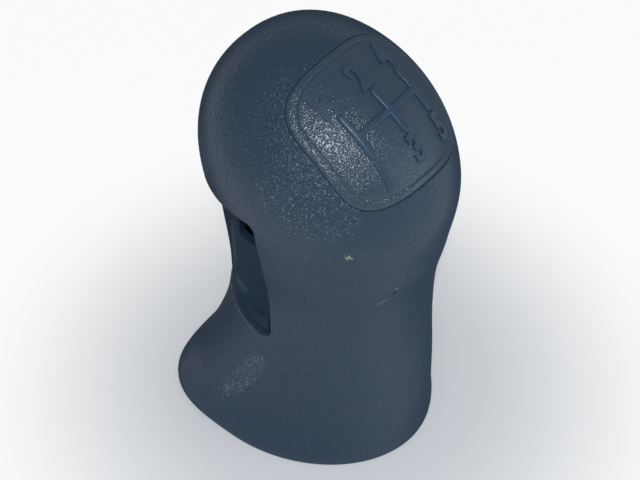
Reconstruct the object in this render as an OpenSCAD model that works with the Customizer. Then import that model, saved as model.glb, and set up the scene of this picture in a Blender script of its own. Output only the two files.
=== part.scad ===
// Gear shift knob with a reverse-lock trigger, millimetres.
// +Z is up the lever, +Y is forward (the trigger and nose side), the lever axis is x = y = 0,
// and z = 0 is the rim of the skirt.

/* [Skirt rim] */
// Half width of the skirt at its rim
rim_half_w = 26.4; // [24:0.2:29]
// Reach of the nose in front of the lever axis
rim_front = 36; // [32:0.5:40]
// Reach of the skirt behind the lever axis
rim_rear = 23.4; // [22:0.2:27]

/* [Skirt flare] */
// Height of the section where the nose starts to run out
flare_z = 10; // [7:0.5:13]
// Half width of the skirt there
flare_half_w = 23.6; // [22:0.2:26]
// Front reach there
flare_front = 32; // [29:0.5:34]
// Rear reach there
flare_rear = 23.2; // [22:0.2:26]

/* [Nose ramp] */
// Height of the section in the middle of the nose ramp
ramp_z = 20; // [17:0.5:24]
// Half width there
ramp_half_w = 21.8; // [20.5:0.2:24]
// Front reach there
ramp_front = 28.6; // [26:0.2:31]
// Rear reach there
ramp_rear = 22.3; // [21:0.2:25]

/* [Waist] */
// Height of the narrowest section
waist_z = 34; // [31:0.5:36]
// Half width of the waist
waist_half_w = 20.6; // [20:0.1:22]
// Front reach of the waist
waist_front = 25.4; // [24:0.2:27]
// Rear reach of the waist
waist_rear = 21.3; // [20.5:0.1:24]

/* [Neck] */
// Height of the section in the middle of the trigger window
neck_z = 50; // [46:0.5:54]
// Half width of the neck
neck_half_w = 20.9; // [20:0.1:23]
// Front reach of the neck
neck_front = 24.6; // [23:0.2:27]
// Rear reach of the neck
neck_rear = 22.4; // [21:0.2:25]

/* [Shoulder] */
// Height of the section under the head
shoulder_z = 62; // [58:0.5:66]
// Half width of the shoulder
shoulder_half_w = 23; // [22:0.2:25]
// Front reach of the shoulder
shoulder_front = 26; // [24:0.2:28]
// Rear reach of the shoulder
shoulder_rear = 24.9; // [23:0.2:27]

/* [Head] */
// Height of the widest section of the head
head_z = 77; // [74:0.5:80]
// Half width of the head
head_half_w = 25; // [23.5:0.2:28]
// Front reach of the head
head_front = 28.3; // [26:0.2:31]
// Rear reach of the head
head_rear = 26.2; // [24:0.2:29]
// Rise of the dome above its widest section
dome_rise = 26.2; // [23:0.2:29]
// Forward lean of the dome for each millimetre of rise
dome_lean = 0.18; // [0.05:0.01:0.25]

/* [Shell] */
// Wall of the moulded shell
wall = 2.4; // [1.8:0.1:3]
// Thickness of the deck that carries the core
deck_t = 2.4; // [2:0.1:3.2]

/* [Trigger window] */
// Sill of the window at the front
sill_z = 35; // [33:0.5:37]
// Underside of the brow above the window
brow_z = 74.5; // [72:0.5:76]
// Rear edge of the window, in front of the lever axis
window_y = 2; // [0:0.5:4]
// Radius of the window's lower corner
window_corner_r = 3; // [1:0.5:5]

/* [Pattern cap] */
// Tilt of the cap towards the driver, degrees
cap_tilt = 37; // [30:1:42]
// Middle of the cap behind the lever axis
cap_back = 12.5; // [9:0.5:15]
// Height of the dome under the middle of the cap
cap_top_z = 97.3; // [96.5:0.1:98]
// Half width of the cap
cap_half_w = 16.8; // [14:0.2:18]
// Half length of the cap
cap_half_l = 15.6; // [13:0.2:16.5]
// Depth of the cap's edge below its crown
cap_depth = 10.6; // [9.6:0.1:12]
// Wall of the cap
cap_wall = 2; // [1.4:0.1:2.6]
// Gap all round the cap
cap_gap = 0.3; // [0.2:0.05:0.5]
// Width of the ledge that carries the cap
ledge_w = 2.6; // [2:0.1:3.2]
// Thickness of the ledge
ledge_t = 2; // [1.5:0.1:3]

/* [Lever core] */
// Bottom of the core
core_z = 24; // [21:0.5:27]
// Top of the core's flange, under the deck
flange_top_z = 71; // [70.5:0.1:72]
// Thickness of the core's flange
flange_t = 4.5; // [4:0.1:4.8]
// Wall of the core's stem round the bush
core_wall = 3; // [2.4:0.1:3.4]
// Diameter of the core's flange
flange_d = 33; // [31:0.5:34]
// Diameter of the spigot that centres the core in the deck
spigot_d = 15; // [12:0.5:17]

/* [Lever bush] */
// Bore for the lever
lever_d = 12; // [10:0.5:13]
// Wall of the steel bush
bush_wall = 1.5; // [1:0.1:2]
// Length of the bush
bush_l = 38; // [30:1:42]

/* [Trigger] */
// Front reach of the trigger's plate beside the fingers
trigger_front = 21; // [20:0.2:22]
// Forward lean of the plate where it enters the brow
plate_lean = 3.6; // [2.5:0.1:4.2]
// Wall of the trigger
trigger_wall = 2; // [1.6:0.1:2.2]
// Underside of the trigger's wings
wing_z = 37.6; // [37:0.1:38.5]
// Height of the outer face of the wings
wing_h = 3.4; // [2.5:0.1:4.5]
// Radius of the finger rest between the wings and the sides
finger_r = 4; // [3:0.1:5]
// Rear edge of the trigger's sides, behind the lever axis
side_rear = 5; // [3:0.5:8]
// Travel of the trigger
trigger_travel = 8; // [5:0.5:8]
// Lift left after the travel, before the sides meet the core's flange
spare_lift = 1.5; // [0.5:0.1:2]
// Thickness of the collar round the core
collar_t = 3; // [2:0.1:4]
// Underside of the collar
collar_z = 41; // [40:0.5:44]
// Running gap between the trigger and what guides it
running_gap = 0.4; // [0.3:0.05:0.6]
// Bottom of the hooks that pull the inhibitor sleeve
hook_z = 9; // [6:0.5:12]
// Width of a hook
hook_w = 7; // [5:0.5:9]
// Thickness of a hook
hook_t = 1.7; // [1.2:0.1:2]

/* [Return spring] */
// Wire of the return spring
wire_d = 1.2; // [0.8:0.1:1.4]
// Gap between the spring and the core
spring_gap = 0.5; // [0.3:0.1:0.8]
// Free turns of the spring
spring_turns = 5; // [4:1:7]
// Thickness of the spring's washer
washer_t = 0.8; // [0.5:0.1:1.2]
// Thickness of the ring that stops the collar
ring_t = 1.2; // [0.8:0.1:1.6]
// Depth of the ring's groove in the core
groove_depth = 1; // [0.6:0.1:1.4]

/* [Screws] */
// Thread diameter of the core's screws
screw_d = 3; // [2.5:0.1:3.5]
// Diameter of the screw heads
screw_head_d = 5.6; // [5:0.1:6]
// Height of the screw heads
screw_head_h = 2.2; // [1.8:0.1:2.6]
// Length of the screws under their heads
screw_l = 6.2; // [5:0.1:6.6]
// Distance of a screw from the lever axis
screw_x = 12.4; // [11.6:0.1:13]

/* [Hidden] */

$fn = 64;
fit = 0.3;
seat = 0.02;

// Points round the outside and round the hollows, and steps up the body and up the dome
around = 60;
around_inside = 44;
body_steps = 26;
dome_steps = 13;

// Sections of the outside: height, half width, y of the widest point, front reach, rear reach,
// fullness in front and fullness behind. A fullness of 2 is an ellipse and more is squarer.
sections = [
    [0, rim_half_w, 9, rim_front, rim_rear, 3.2, 1.95],
    [flare_z, flare_half_w, 11, flare_front, flare_rear, 2.1, 2.1],
    [ramp_z, ramp_half_w, 8, ramp_front, ramp_rear, 1.85, 2.3],
    [waist_z, waist_half_w, 3.5, waist_front, waist_rear, 1.9, 2.3],
    [neck_z, neck_half_w, 2, neck_front, neck_rear, 2.1, 2.1],
    [shoulder_z, shoulder_half_w, 2, shoulder_front, shoulder_rear, 2.15, 1.95],
    [head_z, head_half_w, 4, head_front, head_rear, 2.15, 1.95]
];
head_y = sections[6][2];
dome_fullness = 2.15;

// Small sizes of the inner pieces
rib_w = 3;
leg_w = 9;
leg_t = 1.4;
barb_h = 2.4;
barb_out = 0.8;
plate_fullness = 2.8;
wing_fullness = 2.1;
side_fullness = 8;
wing_inset = 0.3;
wing_y = 3.5;
plate_y = 12;
plate_edge_y = 13.4;
plate_top_z = brow_z + 3;
toe_l = 3;
toe_h = 2.4;
ring_out = 1.8;
ring_slot = 6;
washer_lip = 0.6;
ring_z = collar_z - ring_t - fit;

// From the lever outwards: the core holds the bush, the hooks run past the stop ring on the core,
// and the trigger's sides stand outside the hooks
core_d = lever_d + 2 * (bush_wall + core_wall);
trigger_half_w = core_d / 2 + ring_out + running_gap + hook_t + trigger_wall;
// The ribs reach from beside the trigger to the middle of the shell's wall
rib_out = neck_half_w - wall / 2 - trigger_half_w - running_gap;
// The sides stop where the whole travel still fits under the core's flange
side_top_z = flange_top_z - flange_t - spare_lift - trigger_travel;

// Slope of column k at section i, the mean of the slopes on both sides weighted for uneven steps.
function slope(k, i) =
    let(s = sections, m = len(s) - 1)
    i == 0 ? (s[1][k] - s[0][k]) / (s[1][0] - s[0][0])
    : i == m ? (k == 2 || k == 3 ? dome_lean : k == 4 ? -dome_lean : 0)
    : let(a = s[i][0] - s[i - 1][0], b = s[i + 1][0] - s[i][0])
      ((s[i][k] - s[i - 1][k]) / a * b + (s[i + 1][k] - s[i][k]) / b * a) / (a + b);

// Smooth value of column k at height z, a cubic between the two sections that hold z.
function smooth_value(k, z) =
    let(
        s = sections,
        i = max([for (j = [0:len(s) - 2]) if (z >= s[j][0] || j == 0) j]),
        h = s[i + 1][0] - s[i][0],
        t = (z - s[i][0]) / h
    )
    (2 * t ^ 3 - 3 * t ^ 2 + 1) * s[i][k] + (t ^ 3 - 2 * t ^ 2 + t) * h * slope(k, i)
    + (3 * t ^ 2 - 2 * t ^ 3) * s[i + 1][k] + (t ^ 3 - t ^ 2) * h * slope(k, i + 1);

// One closed section: half width w, widest at y = c, with its front and rear reach from c.
function section_ring(n, z, w, c, front, rear, ff, rf) = [
    for (i = [0:n - 1])
        let(
            a = 360 * i / n,
            p = cos(a) >= 0 ? ff : rf,
            k = (abs(sin(a)) ^ p + abs(cos(a)) ^ p) ^ (-1 / p)
        )
        [w * sin(a) * k, c + (cos(a) >= 0 ? front : rear) * cos(a) * k, z]
];

function body_ring(n, z, inset) =
    let(c = smooth_value(2, z))
    section_ring(n, z, smooth_value(1, z) - inset, c,
        smooth_value(3, z) - c - inset, smooth_value(4, z) + c - inset,
        smooth_value(5, z), smooth_value(6, z));

function dome_ring(n, angle, inset) =
    let(
        out = cos(angle) ^ (2 / dome_fullness),
        up = (dome_rise - inset) * sin(angle) ^ (2 / dome_fullness)
    )
    section_ring(n, head_z + up, (head_half_w - inset) * out, head_y + dome_lean * up,
        (head_front - head_y - inset) * out, (head_rear + head_y - inset) * out,
        sections[6][5], sections[6][6]);

// Closed solid through rings of points, each ring clockwise seen from its upper side.
module loft(rings) {
    n = len(rings[0]);
    m = len(rings);
    sides = [
        for (j = [0:m - 2]) for (i = [0:n - 1])
            let(a = j * n + i, b = j * n + (i + 1) % n)
            each [[a, b, a + n], [b, b + n, a + n]]
    ];
    ends = [[for (i = [n - 1:-1:0]) i], [for (i = [0:n - 1]) (m - 1) * n + i]];
    polyhedron(points = [for (r = rings) each r], faces = concat(sides, ends));
}

// Solid body of the knob from height z0 up, drawn inside its outer surface by inset.
module body_form(z0, inset, n, lower, upper) {
    low = [for (j = [0:lower - 1]) body_ring(n, z0 + (head_z - z0) * j / lower, inset)];
    top = [for (j = [0:upper - 1]) dome_ring(n, 89 * j / (upper - 1), inset)];
    loft(concat(low, top));
}

// Places a shape on the cap's plane, with its own z along the cap's normal.
module on_cap() {
    translate([0, -cap_back, cap_top_z]) rotate([cap_tilt, 0, 0]) children();
}

// Outline of the cap, grown or shrunk by d.
module cap_outline(d) {
    polygon([
        for (i = [0:47])
            let(a = 7.5 * i, k = (abs(sin(a)) ^ 3.4 + abs(cos(a)) ^ 3.4) ^ (-1 / 3.4))
            [(cap_half_w + d) * cos(a) * k, (cap_half_l + d) * sin(a) * k]
    ]);
}

module cap_prism(d, from, to) {
    on_cap() translate([0, 0, from]) linear_extrude(to - from) cap_outline(d);
}

// Side view of the trigger window, a square-topped opening with one round lower corner.
module window_cut() {
    r = window_corner_r;
    rotate([90, 0, 90]) translate([0, 0, -40]) linear_extrude(80) {
        translate([window_y, sill_z + r]) square([60, brow_z - sill_z - r]);
        translate([window_y + r, sill_z]) square([60 - r, 2 * r]);
        translate([window_y + r, sill_z + r]) circle(r);
    }
}

// Deck inside the head: the whole width behind the window, and a round tongue in front of it.
module deck() {
    rings = [for (z = [flange_top_z - 1:flange_top_z + deck_t + 1]) body_ring(around_inside, z, wall / 2)];
    intersection() {
        loft(rings);
        translate([0, 0, flange_top_z]) difference() {
            union() {
                cylinder(d = flange_d, h = deck_t);
                translate([-40, -60, 0]) cube([80, 60 + window_y, deck_t]);
            }
            translate([0, 0, -1]) cylinder(d = spigot_d + 2 * fit, h = deck_t + 2);
            screw_places() translate([0, 0, -1]) cylinder(d = screw_d + 2 * fit, h = deck_t + 2);
        }
    }
}

module screw_places() {
    for (side = [-1, 1]) translate([side * screw_x, 0, 0]) children();
}

// Two upright ribs inside the shell that guide the trigger's sides.
module guide_ribs() {
    inner = trigger_half_w + running_gap;
    for (side = [-1, 1])
        translate([side > 0 ? inner : -inner - rib_out, -rib_w, collar_z + 2])
            cube([rib_out, rib_w, side_top_z - collar_z]);
}

module knob_shell() {
    color("#3b4857") union() {
        difference() {
            body_form(0, 0, around, body_steps, dome_steps);
            difference() {
                body_form(-0.01, wall, around_inside, 12, 9);
                cap_prism(wall, -cap_depth - ledge_t, 0);
            }
            cap_prism(cap_gap, -cap_depth, 30);
            cap_prism(-ledge_w, -cap_depth - ledge_t - 1, 30);
            window_cut();
        }
        deck();
        guide_ribs();
    }
}

// Snap leg of the cap at its front or rear edge, with a barb under the ledge.
module snap_leg(side) {
    outer = cap_half_l - ledge_w - cap_gap;
    drop = cap_depth + ledge_t;
    on_cap() mirror([0, side < 0 ? 1 : 0, 0]) translate([-leg_w / 2, outer - leg_t, 0]) {
        translate([0, 0, -drop - barb_h]) cube([leg_w, leg_t, drop + barb_h]);
        translate([0, 0, -drop - barb_h]) cube([leg_w, leg_t + barb_out, barb_h - fit]);
    }
}

module pattern_cap() {
    color("#3b4857") union() {
        difference() {
            intersection() {
                body_form(shoulder_z, 0, around, 4, dome_steps);
                cap_prism(0, -cap_depth + seat, 30);
            }
            intersection() {
                body_form(shoulder_z - 1, cap_wall, around_inside, 3, 10);
                cap_prism(-cap_wall, -cap_depth - 1, 30);
            }
        }
        intersection() {
            union() for (side = [-1, 1]) snap_leg(side);
            body_form(shoulder_z, cap_wall / 2, 24, 2, 6);
        }
    }
}

// How far the trigger has widened at height z: none above the finger rest, a quarter circle down
// to the wings, and all of it there.
function flare_at(z) =
    let(rise = (wing_z + wing_h + finger_r - z) / finger_r)
    rise <= 0 ? 0 : rise >= 1 ? 1 : 1 - sqrt(1 - rise ^ 2);

// How far the plate leans forward at height z. It goes from the finger rest up to the height that
// reaches the brow when the trigger is lifted, and stays upright above it.
function lean_at(z) =
    let(low = wing_z + wing_h + finger_r, t = (z - low) / (brow_z - trigger_travel - low))
    plate_lean * (1 - cos(180 * min(max(t, 0), 1))) / 2;

// Section of the trigger at height z: the plate's curve in front and square sides behind.
function trigger_ring(n, z, inset, flare) =
    let(
        wing_w = waist_half_w - wing_inset,
        c = plate_y + (wing_y - plate_y) * flare,
        rear = c + side_rear + (inset > 0 ? 3 * trigger_wall : 0)
    )
    section_ring(n, z, trigger_half_w + (wing_w - trigger_half_w) * flare - inset, c,
        trigger_front + lean_at(z) - c - inset, rear,
        plate_fullness + (wing_fullness - plate_fullness) * flare, side_fullness);

module trigger_plate() {
    rest_z = wing_z + wing_h;
    levels = concat(
        [wing_z], [for (i = [0:5]) rest_z + finger_r * (1 - cos(18 * i))],
        [for (i = [1:4]) rest_z + finger_r + (neck_z - rest_z - finger_r) * i / 4],
        [for (i = [1:8]) neck_z + (plate_top_z - neck_z) * i / 8]
    );
    inside = concat([wing_z - 1, neck_z], [for (i = [1:6]) neck_z + (plate_top_z + 1 - neck_z) * i / 6]);
    difference() {
        loft([for (z = levels) trigger_ring(52, z, 0, flare_at(z))]);
        loft([for (z = inside) trigger_ring(around_inside, z, trigger_wall, 0)]);
        // above the sides only the plate goes on
        translate([-40, -40, side_top_z]) cube([80, 40 + plate_edge_y, 60]);
        // behind the window the wings stop short of the shell
        for (side = [-1, 1])
            translate([side > 0 ? trigger_half_w : -40, -40, wing_z - 1])
                cube([40 - trigger_half_w, 40 + window_y + running_gap, 60]);
    }
}

module lift_hook(side) {
    outer = trigger_half_w - trigger_wall;
    inner = outer - hook_t;
    translate([0, -hook_w / 2, 0]) mirror([side < 0 ? 1 : 0, 0, 0]) {
        translate([inner, 0, hook_z]) cube([outer - inner, hook_w, collar_z + 1 - hook_z]);
        translate([inner - toe_l, 0, hook_z]) cube([toe_l + hook_t / 2, hook_w, toe_h]);
    }
}

module reverse_trigger() {
    collar_r = trigger_half_w - trigger_wall / 2;
    color("#333f4d") union() {
        trigger_plate();
        translate([0, 0, collar_z]) difference() {
            cylinder(r = collar_r, h = collar_t);
            translate([0, 0, -1]) cylinder(r = core_d / 2 + running_gap, h = collar_t + 2);
        }
        for (side = [-1, 1]) lift_hook(side);
    }
}

module lever_core() {
    color("#23272c") difference() {
        union() {
            translate([0, 0, core_z]) cylinder(d = core_d, h = flange_top_z - core_z);
            translate([0, 0, flange_top_z - flange_t]) cylinder(d = flange_d, h = flange_t);
            cylinder_from(flange_top_z - 1, spigot_d, deck_t + 1);
        }
        cylinder_from(core_z - 1, lever_d + 2 * bush_wall, bush_l + 1);
        translate([0, 0, ring_z - seat]) difference() {
            cylinder(r = core_d / 2 + ring_out, h = ring_t + 2 * seat);
            translate([0, 0, -1]) cylinder(d = core_d - 2 * groove_depth, h = ring_t + 3);
        }
        screw_places() cylinder_from(flange_top_z - flange_t - 1, screw_d + 2 * seat, flange_t + 2);
    }
}

module cylinder_from(z, d, h) {
    translate([0, 0, z]) cylinder(d = d, h = h);
}

module lever_bush() {
    color("#b9bec4") translate([0, 0, core_z]) difference() {
        cylinder(d = lever_d + 2 * bush_wall, h = bush_l);
        translate([0, 0, -1]) cylinder(d = lever_d, h = bush_l + 2);
    }
}

// Point i of the spring's axis: closed end turns and evenly pitched free turns between them.
function coil_z(t, low, high, turns) =
    let(closed = wire_d, free = (high - low - 3 * wire_d) / turns)
    t < 1 ? low + closed * t : t > turns + 1 ? low + closed + free * turns + closed * (t - turns - 1)
    : low + closed + free * (t - 1);

module return_spring() {
    low = collar_z + collar_t + fit + wire_d / 2;
    high = flange_top_z - flange_t - washer_t - fit + wire_d / 2;
    r = core_d / 2 + spring_gap + wire_d / 2;
    steps = 18;
    rings = [
        for (i = [0:steps * (spring_turns + 2)])
            let(t = i / steps, a = 360 * t, z = coil_z(t, low, high, spring_turns))
            [for (k = [0:5]) let(b = 60 * k)
                [(r + wire_d / 2 * cos(b)) * cos(a), (r + wire_d / 2 * cos(b)) * sin(a), z + wire_d / 2 * sin(b)]]
    ];
    color("#a7adb3") loft(rings);
}

module spring_washer() {
    inner = core_d / 2 + fit / 2;
    color("#b9bec4") translate([0, 0, flange_top_z - flange_t - washer_t]) difference() {
        cylinder(r = core_d / 2 + spring_gap + wire_d + washer_lip, h = washer_t);
        translate([0, 0, -1]) cylinder(r = inner, h = washer_t + 2);
    }
}

// Open ring in the core's groove, which the spring holds the collar against.
module stop_ring() {
    color("#8d9297") translate([0, 0, ring_z]) difference() {
        cylinder(r = core_d / 2 + ring_out, h = ring_t);
        translate([0, 0, -1]) cylinder(r = core_d / 2 - groove_depth + seat, h = ring_t + 2);
        translate([-ring_slot / 2, 0, -1]) cube([ring_slot, 40, ring_t + 2]);
    }
}

module core_screws() {
    color("#8d9297") screw_places() {
        cylinder_from(flange_top_z + deck_t - screw_l, screw_d, screw_l);
        cylinder_from(flange_top_z + deck_t, screw_head_d, screw_head_h);
    }
}

knob_shell();
pattern_cap();
reverse_trigger();
lever_core();
lever_bush();
return_spring();
spring_washer();
stop_ring();
core_screws();
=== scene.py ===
import bpy
import numpy as np
from mathutils import Matrix, Vector


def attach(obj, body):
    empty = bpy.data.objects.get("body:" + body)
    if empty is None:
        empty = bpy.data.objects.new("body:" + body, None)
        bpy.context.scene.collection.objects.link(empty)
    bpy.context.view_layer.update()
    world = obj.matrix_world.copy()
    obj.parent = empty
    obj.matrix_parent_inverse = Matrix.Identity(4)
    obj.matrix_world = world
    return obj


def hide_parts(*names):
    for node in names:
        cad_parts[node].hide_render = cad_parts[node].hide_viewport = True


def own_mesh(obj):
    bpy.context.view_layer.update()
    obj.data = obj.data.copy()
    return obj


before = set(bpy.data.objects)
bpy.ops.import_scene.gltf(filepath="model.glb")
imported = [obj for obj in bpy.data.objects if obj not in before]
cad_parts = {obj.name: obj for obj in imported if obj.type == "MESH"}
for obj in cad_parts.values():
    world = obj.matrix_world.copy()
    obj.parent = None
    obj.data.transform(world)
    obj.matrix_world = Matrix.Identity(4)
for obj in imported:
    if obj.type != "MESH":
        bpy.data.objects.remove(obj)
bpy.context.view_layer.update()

bl_info = {
    "name": "Gear shift knob",
    "version": (1, 0, 0),
    "blender": (4, 5, 0),
    "location": "3D View > Sidebar > Gear knob",
    "description": "Builds the fine surfaces, raised pattern and materials of a gear shift knob",
    "category": "Object",
}

MM = 0.001
KNOB = "knob"
TRIGGER = "trigger"

# How often a range is halved to find a point on a surface, how far under the cap's plane a ray
# starts, and what makes a vector level.
HALVINGS = 40
RAY_START = 25.0
LEVEL = np.array([1.0, 1.0, 0.0])

# Radii in mm that turn a distance round the neck, the head or the plate into an angle.
NECK_R = 22.0
HEAD_R = 26.0
PLATE_R = 14.0

# Corners of a rectangle in turn, as the end of each of two ranges.
RECTANGLE = ((0, 0), (1, 0), (1, 1), (0, 1))

# Sections of the outside in mm: height, half width, y of the widest point, front reach, rear reach,
# fullness in front and fullness behind. A fullness of 2 is an ellipse and more is squarer.
SECTIONS = np.array([
    [0, 26.4, 9, 36, 23.4, 3.2, 1.95],
    [10, 23.6, 11, 32, 23.2, 2.1, 2.1],
    [20, 21.8, 8, 28.6, 22.3, 1.85, 2.3],
    [34, 20.6, 3.5, 25.4, 21.3, 1.9, 2.3],
    [50, 20.9, 2, 24.6, 22.4, 2.1, 2.1],
    [62, 23, 2, 26, 24.9, 2.15, 1.95],
    [77, 25, 4, 28.3, 26.2, 2.15, 1.95],
])
FLARE_TOP_Z = 9.0
HEAD_Z = 77.0
HEAD_Y = 4.0
DOME_RISE = 26.2
DOME_LEAN = 0.18
DOME_FULLNESS = 2.15

# Window in the neck, in the side view: sill, brow, rear edge and the radii of its corners.
SILL_Z = 35.0
BROW_Z = 74.5
WINDOW_Y = 2.0
SILL_CORNER = 3.0
BROW_CORNER = 2.0

# Deck in the head, and the two ribs inside the neck that guide the trigger.
DECK_Z = 71.0
DECK_T = 2.4
DECK_HOLE_R = 7.8
DECK_TONGUE_R = 16.5
DECK_GAP = 0.02
RIB_X = (16.8, 19.0)
RIB_Y = (-3.0, 0.0)
RIB_Z = (43.0, 59.0)

# Cap: a rounded square on a plane that leans back, laid on the dome.
CAP_TILT = np.radians(37.0)
CAP_CENTRE = np.array([0.0, -12.5, 97.3])
CAP_RIGHT = np.array([1.0, 0.0, 0.0])
CAP_UP = np.array([0.0, np.cos(CAP_TILT), np.sin(CAP_TILT)])
CAP_OUT = np.array([0.0, -np.sin(CAP_TILT), np.cos(CAP_TILT)])
CAP_HALF_W = 16.8
CAP_HALF_L = 15.6
CAP_SQUARE = 3.4
CAP_T = 3.4
FIELD_INSET = 8.0
GROOVE_SPREAD = 0.2
SEAM_UNDER = 0.3
SEAM_WALL = 1.2

# Raised pattern: how deep lines and figures reach into the cap, the gap between them, a figure's
# height over the cap as a share of a line's, and its width as a share of the font's.
LINE_SINK = 0.3
FIGURE_SINK = 0.25
PATTERN_GAP = 0.3
FIGURE_RISE = 0.75
FIGURE_NARROW = 0.84
# A figure's body in font units: half its thickness, extra weight and round edge.
FIGURE_BODY = {"extrude": 0.05, "offset": 0.026, "bevel_depth": 0.014, "bevel_resolution": 1}
# Each figure with its column and row.
FIGURES = (("R", -1, 1), ("1", -1, -1), ("2", 0, 1), ("3", 0, -1), ("4", 1, 1), ("5", 1, -1))

# Trigger: plate, sides and wings. The plate leans forward between two heights.
TRIGGER_HALF_W = 16.4
TRIGGER_FRONT = 21.0
TRIGGER_WALL = 2.0
PLATE_Y = 12.0
PLATE_LEAN = 3.6
LEAN_LOW_Z = 45.0
LEAN_TOP_Z = 66.5
PLATE_TOP_Z = 77.5
PLATE_TOP_R = 0.5
PLATE_EDGE_Y = 13.4
PLATE_FULLNESS = 2.8
NOTCH_R = 1.5
SIDE_TOP_Z = 57.0
SIDE_REAR_Y = -3.6
SIDE_REACH = 5.0
SIDE_FULLNESS = 8.0
WING_HALF_W = 20.3
WING_Y = 3.5
WING_REAR_Y = 2.4
WING_Z = 37.6
WING_FULLNESS = 2.1
WING_FOOT_R = 0.3
WING_LIP_R = 0.7
REST_Z = 41.0
FINGER_R = 4.0

# Collar of the trigger, and the hooks with their toes that hang from it.
COLLAR_R = (10.9, 15.2)
COLLAR_Z = (41.0, 44.0)
HOOK_X = (12.7, 14.4)
HOOK_Y = (-3.5, 3.5)
HOOK_Z = (9.0, 42.0)
TOE_X = (9.7, 12.8)
TOE_Z = (9.0, 11.4)


def size_mm(label, default, low, high):
    """A size in millimetres with its range."""
    return bpy.props.FloatProperty(name=label, description=f"{label} in mm", default=default,
                                   min=low, max=high)


def tint(label, default):
    """A colour between 0 and 1."""
    return bpy.props.FloatVectorProperty(name=label, description=f"Colour of the {label.lower()}",
                                         subtype="COLOR", default=default, min=0.0, max=1.0)


class KnobSizes(bpy.types.PropertyGroup):
    """Sizes of the fine surfaces, in millimetres"""
    wall: size_mm("Shell wall", 2.4, 1.0, 3.0)
    edge_r: size_mm("Window edge radius", 0.55, 0.2, 1.0)
    rim_r: size_mm("Rim edge radius", 0.6, 0.2, 1.0)
    rim_h: size_mm("Rim band height", 1.6, 0.0, 4.0)
    cap_gap: size_mm("Cap gap", 0.07, 0.05, 0.6)
    seam_h: size_mm("Seam depth", 0.26, 0.2, 3.0)
    cap_edge_r: size_mm("Cap edge radius", 0.35, 0.2, 1.0)
    groove: size_mm("Cap groove depth", 0.24, 0.0, 0.5)
    groove_in: size_mm("Cap groove inset", 1.4, 1.0, 2.0)
    trigger_edge_r: size_mm("Trigger edge radius", 0.6, 0.2, 1.0)
    line_w: size_mm("Pattern line width", 1.6, 0.6, 2.0)
    line_h: size_mm("Pattern line height", 0.6, 0.1, 0.8)
    column_x: size_mm("Pattern pitch", 8.8, 6.0, 10.0)
    figure_y: size_mm("Figure row distance", 8.9, 6.0, 10.0)
    figure_h: size_mm("Figure height", 6.2, 3.0, 7.0)
    grain_pitch: size_mm("Grain cell size", 0.55, 0.3, 2.0)


class KnobColours(bpy.types.PropertyGroup):
    """Colours of the finishes"""
    shell: tint("Grained plastic", (0.024, 0.047, 0.079))
    trigger: tint("Smooth plastic", (0.017, 0.032, 0.054))
    core: tint("Core plastic", (0.02, 0.021, 0.023))
    steel: tint("Zinc steel", (0.5, 0.51, 0.52))
    floor: tint("Pale floor", (0.8, 0.8, 0.8))


def section_slopes():
    """Slope of each column of SECTIONS at each section: the mean of the slopes on both sides,
    each weighted by the other side's step. The ends take the first slope and the dome's lean."""
    z = SECTIONS[:, 0]
    step = np.diff(z)[:, None]
    rise = np.diff(SECTIONS, axis=0) / step
    slopes = np.zeros_like(SECTIONS)
    slopes[0] = rise[0]
    slopes[1:-1] = (rise[:-1] * step[1:] + rise[1:] * step[:-1]) / (step[1:] + step[:-1])
    slopes[-1, 2:5] = DOME_LEAN, DOME_LEAN, -DOME_LEAN
    return slopes


def section_at(z):
    """Half width, widest y, front reach, rear reach and both fullnesses at heights z. Each is a
    cubic between two sections that meets their values and slopes."""
    z = np.asarray(z, dtype=float)
    i = np.clip(np.searchsorted(SECTIONS[:, 0], z, side="right") - 1, 0, len(SECTIONS) - 2)
    low, high = SECTIONS[i], SECTIONS[i + 1]
    slopes = section_slopes()
    h = (high[..., 0] - low[..., 0])[..., None]
    t = (z[..., None] - low[..., :1]) / h
    value = ((2 * t ** 3 - 3 * t ** 2 + 1) * low + (t ** 3 - 2 * t ** 2 + t) * h * slopes[i]
             + (3 * t ** 2 - 2 * t ** 3) * high + (t ** 3 - t ** 2) * h * slopes[i + 1])
    return np.moveaxis(value[..., 1:], -1, 0)


def last_inside(low, high, inside):
    """The last values from low to high at which inside holds, by halving the range."""
    for _ in range(HALVINGS):
        middle = (low + high) / 2
        held = inside(middle)
        low = np.where(held, middle, low)
        high = np.where(held, high, middle)
    return low


def unit(vectors):
    """Each vector over its length."""
    return vectors / np.maximum(np.linalg.norm(vectors, axis=-1, keepdims=True), 1e-9)


def at_height(x, y, z):
    """Points from x, y and heights."""
    return np.stack([x, y, np.broadcast_to(z, x.shape)], -1)


def oval_size(x, y, p):
    """The root of order p of |x| to the p plus |y| to the p."""
    return (np.abs(x) ** p + np.abs(y) ** p) ** (1 / p)


def squared_oval(angle, half_w, middle, front, rear, front_full, rear_full):
    """x and y of a squared oval. With p the fullness on that side, |x / half width| to the p plus
    |(y - middle) / reach| to the p is 1. The angle runs from the front to the right."""
    s, c = np.sin(angle), np.cos(angle)
    p = np.where(c >= 0, front_full, rear_full)
    k = (np.abs(s) ** p + np.abs(c) ** p) ** (-1 / p)
    return half_w * s * k, middle + np.where(c >= 0, front, rear) * c * k


def flare_height(z, rim_h):
    """Height at which the skirt's section is read for height z. The rim stands upright over rim_h,
    so the flare above it is drawn up by a cubic that meets height and slope 1 at the flare's top."""
    top = FLARE_TOP_Z
    h = top - rim_h
    t = np.clip((z - rim_h) / h, 0, 1)
    drawn = (t ** 3 - 2 * t ** 2 + t) * h + (3 * t ** 2 - 2 * t ** 3) * top + (t ** 3 - t ** 2) * h
    return np.where(z < top, np.maximum(drawn, 0), z)


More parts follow.
